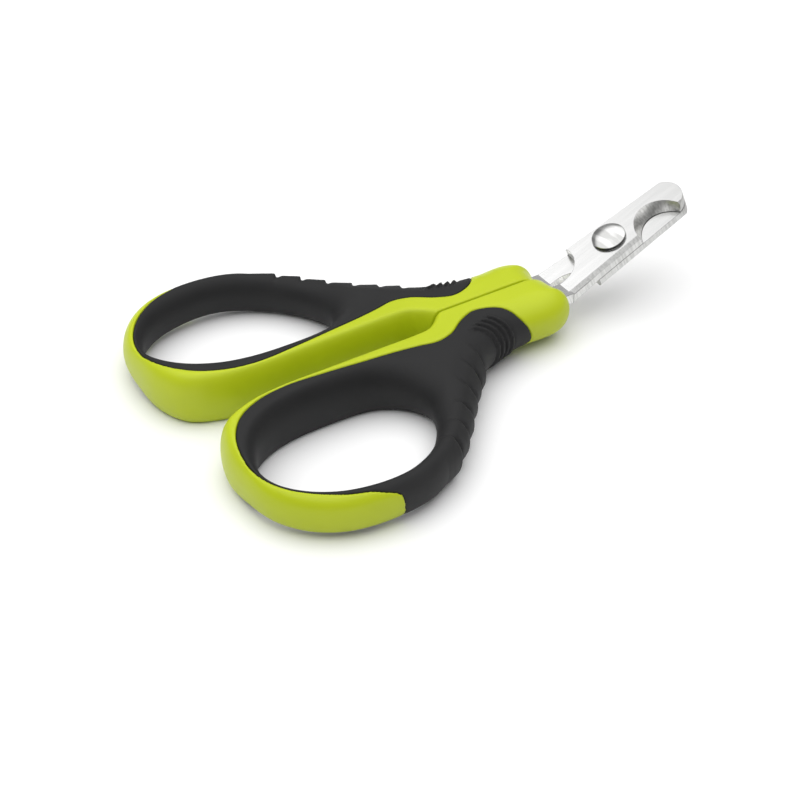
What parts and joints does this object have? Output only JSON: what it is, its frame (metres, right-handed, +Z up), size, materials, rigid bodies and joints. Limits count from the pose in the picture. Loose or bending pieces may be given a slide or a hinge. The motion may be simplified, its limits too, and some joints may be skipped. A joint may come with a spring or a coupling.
{
  "type": "scissor nail clipper",
  "caption": "Scissor nail clipper with finger loops, soft grips and two cranked steel blades whose round nail notches close on a rivet.",
  "frame": {"origin": "under the middle of the outline, on the surface that the handles lie on", "axes": "+X towards the blade tips along the seam between the handles, +Y to the left handle, +Z up"},
  "size_m": [0.0951, 0.065, 0.0169],
  "materials": {
    "handle_plastic": "lime green, satin moulded",
    "soft_grip": "black, matte soft-touch",
    "blade_steel": "bright, finely ground",
    "rivet_steel": "polished"
  },
  "bodies": {
    "left_half": {"lower_blade": "blade_steel", "left_core": "handle_plastic", "left_grip": "soft_grip", "pivot_rivet": "rivet_steel", "rivet_washer": "rivet_steel"},
    "right_half": {"upper_blade": "blade_steel", "right_core": "handle_plastic", "right_grip": "soft_grip"}
  },
  "joints": [
    {"name": "blade_pivot", "type": "hinge", "parent": "left_half", "child": "right_half", "pos_m": [0.033, 0, 0.00962], "axis": [-0.3746, 0, 0.9272], "range_deg": [0, 45]}
  ]
}
